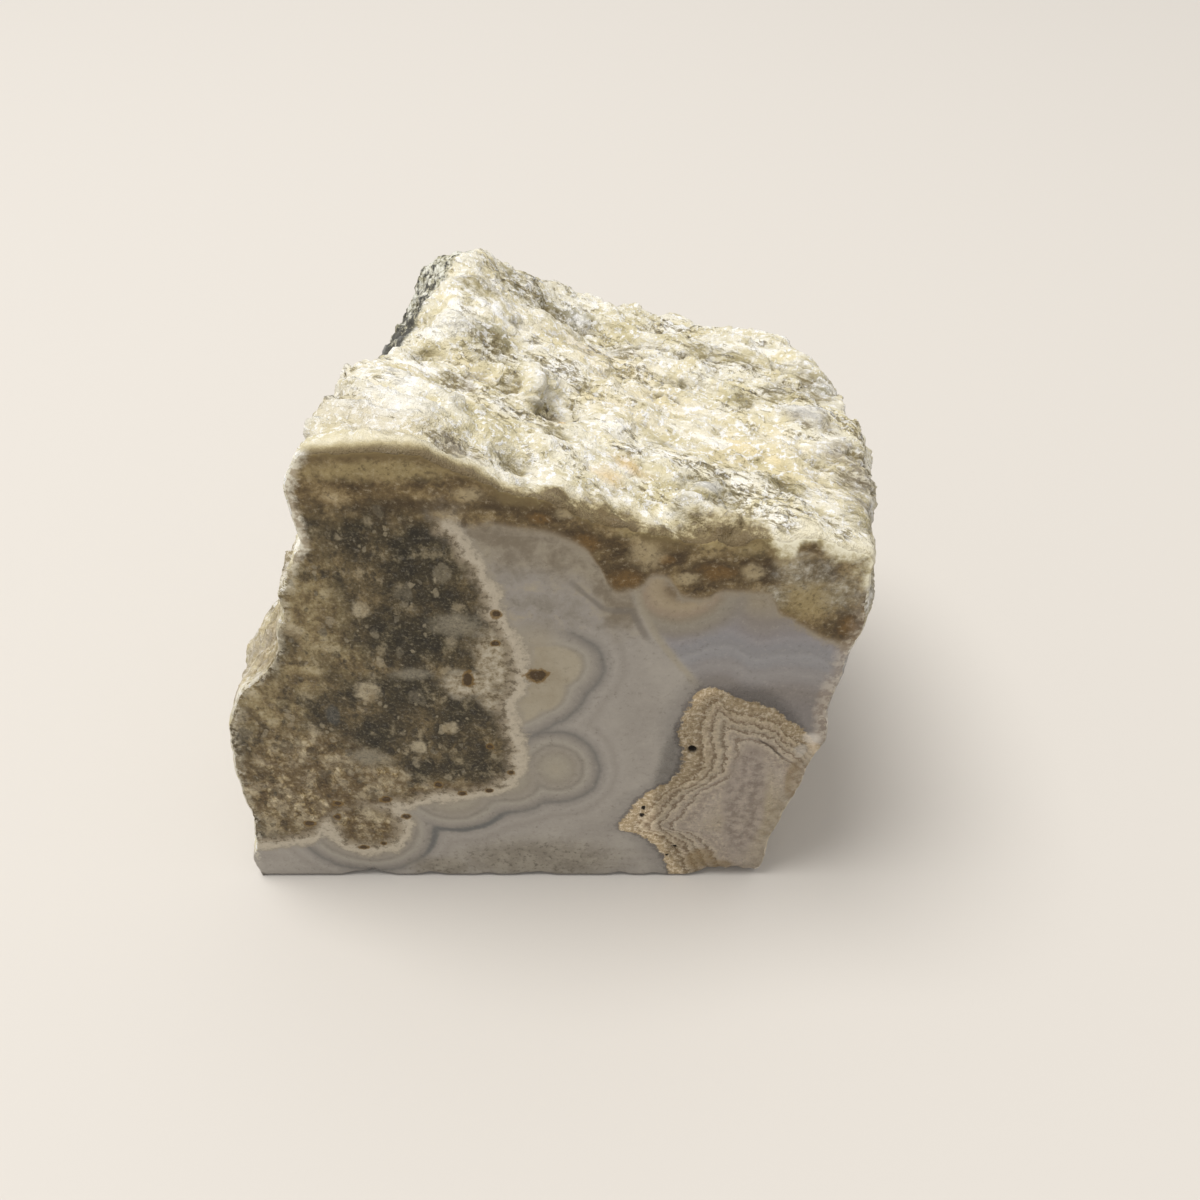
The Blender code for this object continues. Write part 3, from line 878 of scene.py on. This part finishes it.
crust_grit = inner.cloud(0.5, 4.0, 0.7)
crust = (crust_grit.rise(0.50, 0.64) * 0.45).over(crust, paint(58, 44, 24))
crust = (crust_grit.rise(0.48, 0.32) * 0.25).over(crust, paint(172, 154, 118))
greyed = blots(mottle, (
    (15.6, 39.0, 2.0, 1.6), (18.8, 37.0, 1.4, 1.8), (13.4, 36.6, 1.2, 1.0),
), crust_fray, 0.7, 1.4)
crust = (greyed * 0.6).over(crust, inner.cloud(0.7, 4.0, 0.7).painted((
    (0.40, paint(108, 98, 78)), (0.52, paint(148, 140, 122)), (0.62, paint(184, 178, 164)),
)))
crust = (in_crust.rise(1.3, 0.1) * across.rise(-10, -7)).over(crust, in_crust.painted((
    (-0.3, paint(137, 126, 110)), (0.3, paint(138, 126, 107)), (0.8, paint(118, 101, 76)),
    (1.4, paint(96, 78, 51)),
)))
crusted = (in_crust + inner.waver(3.4, 1.6, 5.0, 0.72)).rise(-0.5, 0.7)
stain = (up + inner.waver(7, 2.6, 5.0, 0.7)).rise(42.5, 47.0)
stonework = (crusted * across.rise(-14, -9)).most(stain * across.rise(-5, -9)).over(stonework, crust)

# The tan patch, with its ochre stains, and its pits painted near black as painted shade.
tan = tan_beds(inner, in_tan)
ochre_stains = blots(inner, ((9.7, 2.7, 1.4, 1.6), (11.7, 1.6, 1.2, 1.0), (17.4, 14.5, 0.8, 2.4)), fray)
tan = (ochre_stains * 0.6).over(tan, paint(150, 124, 82))
# Painted shade: the pits are near black inside.
painted_pit_shade = blots(inner, [(x, z, reach * 0.76, reach * 0.8) for x, z, reach in TAN_PITS], fray, 0.25, 0.3)
tan = painted_pit_shade.over(tan, paint(30, 24, 18))
stonework = in_tan.rise(-0.12, 0.18).over(stonework, tan)

# A dark crack runs down to the patch's right side.
crack = (across + up).line(33.7, 0.22) * up.rise(17.0, 18.0) * up.rise(20.4, 19.4)
stonework = (crack * 0.7).over(stonework, paint(60, 50, 40))

# Fine mottling all over, in which the banded part is the calmest.
fleck = inner.cloud(0.5, 5.0, 0.75)
fleck_share = 0.18 + 0.25 * inner.cloud(3.0, 2.0).rise(0.4, 0.6)
stonework = (fleck.rise(0.52, 0.74) * fleck_share).over(stonework, paint(72, 64, 50))
stonework = (fleck.rise(0.48, 0.28) * 0.16).over(stonework, paint(184, 174, 158))

# The worn rims: olive and cream along the top, pale quartz chips up the sides, and a painted shadow along
# the foot.
rim_away = kept(start, "rim")
frayed_rim = rim_away + inner.waver(1.6, 1.0, 4.0, 0.7)
crest = over_rim(place, -rim_away)
crest_shows = crest.rise(-1.3, -0.1) * (1 - across.rise(11.5, 15) * crest.rise(0.6, -0.6))
crest_shows = crest_shows * rim_away.rise(5, 3.5) * at_top_rim(place)
stonework = crest_shows.over(stonework, crest_tone(place, crest, paint))
chipped = frayed_rim.rise(0.9, 0.2) * inner.cloud(0.6, 4.0, 0.7).rise(0.5, 0.6) * place.part(2).rise(1, 3)
stonework = (chipped * (1 - at_top_rim(place)) * 0.65).over(stonework, paint(192, 182, 162))
left_skin = frayed_rim.rise(1.2, 0.2) * across.rise(-19, -23) * up.rise(8, 14) * fray.rise(0.44, 0.56)
stonework = (left_skin * 0.45).over(stonework, paint(190, 179, 154))
right_skin = frayed_rim.rise(1.7, 0.6) * across.rise(9, 13) * up.rise(37, 33)
skin_tone = fray.rise(0.44, 0.58).over(paint(134, 116, 96), paint(186, 172, 152))
stonework = (right_skin * 0.45).over(stonework, skin_tone)
shoulder_rim = frayed_rim.rise(1.2, 0.5) * across.rise(-20.5, -22) * up.rise(37, 42)
shoulder_tone = fray.rise(0.42, 0.58).over(paint(168, 154, 132), paint(216, 208, 188))
stonework = (shoulder_rim * 0.8).over(stonework, shoulder_tone)
white_chips = blots(inner, ((18.3, 20.0, 0.8, 0.7), (17.6, 18.6, 0.5, 0.8)), fray, 0.5, 1.6)
stonework = (white_chips * 0.6).over(stonework, paint(206, 196, 182))
# Painted shadow: a dark line along the foot, where the lump meets the floor.
painted_foot_shadow = rim_away.rise(0.5, 0.1) * place.part(2).rise(0.8, 0.4)
stonework = (painted_foot_shadow * 0.75).over(stonework, paint(58, 52, 44))

near_tan = round_from(place, TAN_MIDDLE, TAN_SIZE).rise(1.05, 0.9) * place.part(1).rise(4, 1)
sandy_height = place.waver(0.8, 0.5, 4.0, 0.75)
flat_height = place.waver(0.05, 0.5, 2.0)
roughness = 0.46 + inner.waver(0.25, 0.8, 2.0) + in_tan.rise(-0.1, 0.2) * 0.2
lean = bumped(start, near_tan * sandy_height + flat_height)
wear(surface, Base_Color=stonework, Roughness=roughness, Normal=lean)

# The broken skin, as it came from the ground: cream and white quartz in grains and flakes, with olive
# and dark patches. Low down on the right the chalcedony and the tan patch come out to the skin.

start, surface, place = finish_named("broken_quartz", 0.42, 0.5)
streaks = place.node(
    "ShaderNodeMapping", {"vector_type": "TEXTURE"},
    {"Vector": place, "Rotation": (0, 0, FLAKE_BEARING), "Scale": (FLAKE_LENGTH, 1, 1)},
)
across, depth, height = place.part(0), place.part(1), place.part(2)
stood = kept(start, "relief")
grain = kept(start, "grain")
rim_away = kept(start, "rim")
patch_fray = streaks.cloud(1.1, 3.0, 0.6)


def patches(rows, edge=0.5, ragged=0.9):
    """A mask of patches on the skin: x, y, z, half length with the flakes, half width and height."""
    nearest = None
    for x, y, z, long, wide, tall in rows:
        centre = Matrix.Rotation(-FLAKE_BEARING, 3, "Z") @ Vector((x, y, z))
        centre.x /= FLAKE_LENGTH
        distance = streaks.away(centre, (long / FLAKE_LENGTH, wide, tall))
        nearest = distance if nearest is None else nearest.least(distance)
    return (nearest + (patch_fray - 0.5) * ragged).rise(1 + edge, 1 - edge)


# Cream, white and pale yellow in large soft areas, then grain by grain.
quartz = place.stirred(4, 3.0).cloud(6.5, 4.0, 0.6).painted((
    (0.34, pale(204, 194, 154)), (0.42, pale(224, 214, 180)), (0.48, pale(241, 236, 218)),
    (0.55, pale(248, 245, 236)), (0.62, pale(232, 223, 192)), (0.70, pale(214, 201, 162)),
))
golden = patches((
    (0.0, 26.8, 41.6, 7.0, 3.0, 4), (14.7, 12.5, 41.8, 6.0, 3.0, 4), (-14.0, 14.5, 48, 5.0, 1.6, 4),
    (1.5, 17.0, 43, 5.0, 1.8, 4), (-11, 20, 46, 3.0, 1.2, 3), (4.0, 21.0, 42, 5.0, 2.2, 4),
), 0.8, 1.2)
quartz = (golden * 0.45).over(quartz, pale(238, 220, 172))
quartz = (grain.rise(0.62, 0.8) * 0.6).over(quartz, pale(252, 251, 247))
quartz = (grain.rise(0.34, 0.18) * 0.4).over(quartz, pale(196, 186, 150))
veil = streaks.cloud(1.4, 4.0, 0.66)
quartz = (veil.rise(0.51, 0.62) * 0.7).over(quartz, pale(194, 183, 143))

# Dirty places and painted shade: fine olive and black specks that thicken into dark fields.
# Painted shade on the shoulder's dome: a darker cream there, and fewer white specks further on.
painted_shoulder_shade = patches(((-18, 6.5, 48.5, 7, 3.0, 5), (-23, 7, 46, 4, 4, 5)), 0.9, 1.4)
quartz = (painted_shoulder_shade * 0.7).over(quartz, pale(202, 193, 170))
# The peak's right side: olive streaks, darkened further as painted shade.
flank_streaks_and_shade = patches((
    (-6.2, 37.2, 42.6, 4.8, 2.6, 3.4), (-3.2, 36.8, 40.4, 2.6, 2.2, 2.4),
    (-9.5, 24.0, 45.4, 3.0, 1.8, 2), (20, 26, 39.5, 3, 1.6, 3),
), 0.6, 1.8)
quartz = (flank_streaks_and_shade * veil.rise(0.38, 0.56) * 0.75).over(quartz, pale(122, 115, 86))
# Where the specks thicken: dirty places, and as painted shade in hollows and on the peak's right side.
dirt_and_shade = patches((
    (-6.2, 36.6, 42.8, 4.8, 2.6, 4), (-9.4, 23.2, 45.4, 3.2, 2.0, 2), (-10.5, 4.0, 48, 3.0, 1.6, 2),
    (2.8, 25.5, 41.3, 3.4, 1.6, 2), (11.6, 29.0, 40, 4.5, 2.0, 3), (18.3, 19.5, 41, 4.4, 2.2, 3),
    (22, 12.0, 39, 2.2, 3.5, 4), (-1.5, 19.7, 43.5, 2.0, 0.9, 1.5), (18.5, 1.0, 39, 3.5, 2.0, 4),
    (12.6, 9.0, 42, 4.4, 1.6, 2), (-20, 28, 41, 3, 9, 7), (8.6, 8.4, 42.8, 3.4, 2.2, 2),
    (-6.4, 12.6, 45, 3.4, 2.2, 2), (-3.5, 22.4, 43.4, 3.0, 1.8, 2),
), 1.1, 1.5)
dirt_and_shade = (dirt_and_shade * 0.95).most(place.cloud(5, 4.0, 0.62).rise(0.46, 0.66) * 0.8)
specks = streaks.stirred(0.8, 0.5).cloud(0.5, 5.0, 0.78)
olive_specks = (specks + dirt_and_shade * 0.17).rise(0.60, 0.65)
quartz = (olive_specks * (0.55 + 0.4 * dirt_and_shade)).over(quartz, pale(128, 115, 78))
black_specks = (specks + dirt_and_shade * 0.16).rise(0.69, 0.74)
quartz = (black_specks * 0.85).over(quartz, pale(66, 59, 43))
broken = specks.rise(0.38, 0.54)
snow = place.cloud(0.6, 5.0, 0.74).rise(0.52, 0.59)
quartz = (snow * (0.85 - 0.4 * dirt_and_shade) * (1 - painted_shoulder_shade * 0.4)).over(quartz, pale(254, 253, 250))

# Olive grains and smoky ones, in the single places where they are big.
olive_grains = patches((
    (-7.0, 5.2, 45.6, 1.5, 1.1, 1.6), (-3.6, 10.3, 45.1, 1.3, 0.8, 1.4),
    (-3.9, 14.6, 43.4, 2.1, 1.0, 1.4), (6.5, 24.3, 40.2, 1.4, 0.9, 1.4), (8.6, 5.4, 43, 2.4, 1.6, 2),
    (14.6, 8.2, 41.6, 2.4, 1.1, 2), (20.3, 4.0, 41.6, 1.4, 1.4, 1.6), (6.4, 2.6, 43.6, 1.2, 1.2, 2),
    (12.8, 21.3, 41, 1.4, 0.8, 1.5), (5.0, 13.0, 43.1, 1.6, 0.9, 2), (-8.8, 18.6, 45, 1.6, 0.8, 1.5),
    (12, 30, 40, 3.2, 1.4, 2), (-11.5, 31, 46, 2.6, 1.4, 2), (16, 22, 40.3, 2.0, 0.8, 2),
), 0.5, 1.5)
olive_tone = veil.rise(0.4, 0.6).over(pale(104, 93, 58), pale(160, 148, 106))
quartz = (olive_grains * (0.25 + 0.6 * broken)).over(quartz, olive_tone)
smoky = patches((
    (20.6, 13.2, 41, 2.0, 1.7, 2.2), (21, 9.8, 40.6, 1.8, 1.9, 2.2), (21, 6.0, 41, 1.6, 1.4, 1.6),
    (18.0, 17.5, 41.4, 2.6, 0.8, 1.5), (-10.3, 3.6, 48, 2.0, 1.0, 1.4),
), 0.6, 1.4)
smoky_tone = veil.rise(0.4, 0.6).over(pale(92, 80, 60), pale(150, 140, 122))
quartz = (smoky * (0.35 + 0.45 * broken)).over(quartz, smoky_tone)
ochre = patches((
    (-3.3, 13.4, 43.9, 0.9, 0.5, 1.2), (0.7, 5.3, 45.0, 1.4, 0.7, 1.2), (2.6, 7, 44, 1.6, 0.6, 1),
), 0.7, 1.4)
quartz = (ochre * 0.6).over(quartz, pale(210, 176, 112))

# The peak's left side: darker grey, with black and white like coarse salt and pepper.
ridge = across + 14.2 + (34 - depth) * 0.34 + place.waver(1.6, 2.0, 3.0)
ragged = place.waver(14, 3.4, 5.0, 0.7)
dark_left_facet = ridge.rise(0.3, -0.4) * (depth + ragged).rise(18.5, 21.5) * (height + ragged).rise(32, 37)
steep = place.vector("MULTIPLY", place, (1.5, 0.8, 0.6))
pepper = steep.cloud(0.7, 5.0, 0.74) + (34 - depth) * 0.012
quartz = (dark_left_facet * 0.6).over(quartz, pale(150, 149, 126))
quartz = (dark_left_facet * pepper.rise(0.50, 0.56) * 0.92).over(quartz, pale(38, 37, 32))
quartz = (dark_left_facet * pepper.rise(0.48, 0.42) * 0.7).over(quartz, pale(240, 240, 230))

# Hollows are painted olive, as painted shade in them, and the highest places of the relief are whiter.
quartz = (stood.rise(-0.25, -0.9) * (0.2 + 0.7 * broken)).over(quartz, pale(118, 104, 64))
quartz = (stood.rise(0.2, 0.7) * 0.4).over(quartz, pale(253, 252, 247))

# The crust comes over the rim of the saw cut and gives way to the cream.
crest = over_rim(place, rim_away)
quartz = (crest.rise(3.2, 0.9) * at_top_rim(place)).over(quartz, crest_tone(place, crest, pale))

# Low down, the rock behind the cut comes out to the skin: the vein on the right, the breccia on the left.
drawn = strayed(place).stirred(5, 0.7)
in_crust = into_crust(drawn)
in_tan = into_tan(drawn)
grey = drawn.cloud(4, 2.0).rise(0.35, 0.65).over(paint(140, 132, 122), paint(158, 150, 140))
banded = drawn.part(2).rise(22, 25).over(grey, lace(drawn))
vein = in_tan.rise(-0.12, 0.18).over(banded, tan_beds(drawn, in_tan))
vein = (grain.rise(0.58, 0.8) * 0.45).over(vein, pale(216, 208, 194))
vein = (veil.rise(0.54, 0.62) * 0.4).over(vein, pale(226, 218, 200))
worn_edge = place.waver(9, 2.2, 5.0, 0.7)
vein_shows = out_of_breccia(drawn).rise(0.2, 1.2) * in_crust.rise(0.2, -0.8)
vein_shows = vein_shows * (depth + worn_edge).rise(31, 25)
skin = (vein_shows * 0.85).over(quartz, vein)
matrix_shows = out_of_breccia(drawn).rise(-1, -3) * height.rise(44, 34) * depth.rise(18, 6)
matrix_shows = matrix_shows * (0.35 + 0.65 * rim_away.rise(0.4, 2.2))
matrix = place.cloud(2.4, 6.0, 0.7).painted((
    (0.34, paint(84, 70, 46)), (0.46, paint(124, 106, 74)), (0.56, paint(156, 138, 102)),
    (0.68, paint(196, 182, 150)),
))
skin = (matrix_shows * (0.8 - 0.4 * veil.rise(0.5, 0.6))).over(skin, matrix)


def broken_grains(at, size):
    """The height of small broken grains, each a leaning plane, like the big ones in the mesh."""
    middle = at.cells(size, output=2)
    lean = at.cells(size, output=1)
    lean = lean.vector("SUBTRACT", lean, (0.5, 0.5, 0.5))
    return at.vector("DOT_PRODUCT", at.vector("SUBTRACT", at, middle), lean, output=1)


grit = broken_grains(streaks, 0.62) * 0.45 + place.waver(0.26, 0.3, 3.0, 0.7)
wear(surface, Base_Color=skin, Roughness=0.42 - (grain - 0.5) * 0.3, Normal=bumped(start, grit))


# The studio: a plain pale floor, one big soft lamp high above and a little to the left, whose light
# only grazes the sawn face, and a bright even room round them.

FLOOR_SIDE = 4.0
WINDOW_AT = Vector((-0.30, 0.0, 1.06))
WINDOW_AIM = Vector((0, 0, 0.03))
WINDOW_SIZE = 0.66
WINDOW_WATTS = 10.5
ROOM_STRENGTH = 0.635

bpy.ops.mesh.primitive_plane_add(size=FLOOR_SIDE)
floor = bpy.context.object
floor.name = "studio_floor"
floor_paint = bpy.data.materials.new("pale_floor")
floor_paint.use_nodes = True
pale_floor = floor_paint.node_tree.nodes["Principled BSDF"]
pale_floor.inputs["Base Color"].default_value = pale(204, 199, 192)
pale_floor.inputs["Roughness"].default_value = 0.75
floor.data.materials.append(floor_paint)

lamp = bpy.data.lights.new("window_light", "AREA")
lamp.shape = "DISK"
lamp.size = WINDOW_SIZE
lamp.energy = WINDOW_WATTS
lamp.color = (1.0, 0.99, 0.97)
window = bpy.data.objects.new("window_light", lamp)
bpy.context.scene.collection.objects.link(window)
window.location = WINDOW_AT
window.rotation_euler = (WINDOW_AIM - WINDOW_AT).to_track_quat("-Z", "Y").to_euler()

world = bpy.data.worlds.new("soft_room")
world.use_nodes = True
room = world.node_tree.nodes["Background"]
room.inputs["Color"].default_value = (1.0, 0.98, 0.96, 1.0)
room.inputs["Strength"].default_value = ROOM_STRENGTH
bpy.context.scene.world = world
bpy.context.scene.view_settings.view_transform = "Standard"
bpy.context.scene.cycles.max_bounces = 5
bpy.context.scene.cycles.diffuse_bounces = 2

# The camera is close in front of the sawn face and above the lump, and looks down at a slant.
CAMERA_BACK = 71.16 * MM
CAMERA_UP = 100.31 * MM
CAMERA_TILT = math.radians(48)  # up from straight down

camera = bpy.data.objects.new("camera", bpy.data.cameras.new("camera"))
bpy.context.scene.collection.objects.link(camera)
camera.data.sensor_width = 36
camera.data.lens = 36.9
camera.data.clip_start = 0.01
camera.location = FOOT + Vector((0, -CAMERA_BACK, CAMERA_UP))
camera.rotation_euler = (CAMERA_TILT, 0, 0)
bpy.context.scene.camera = camera
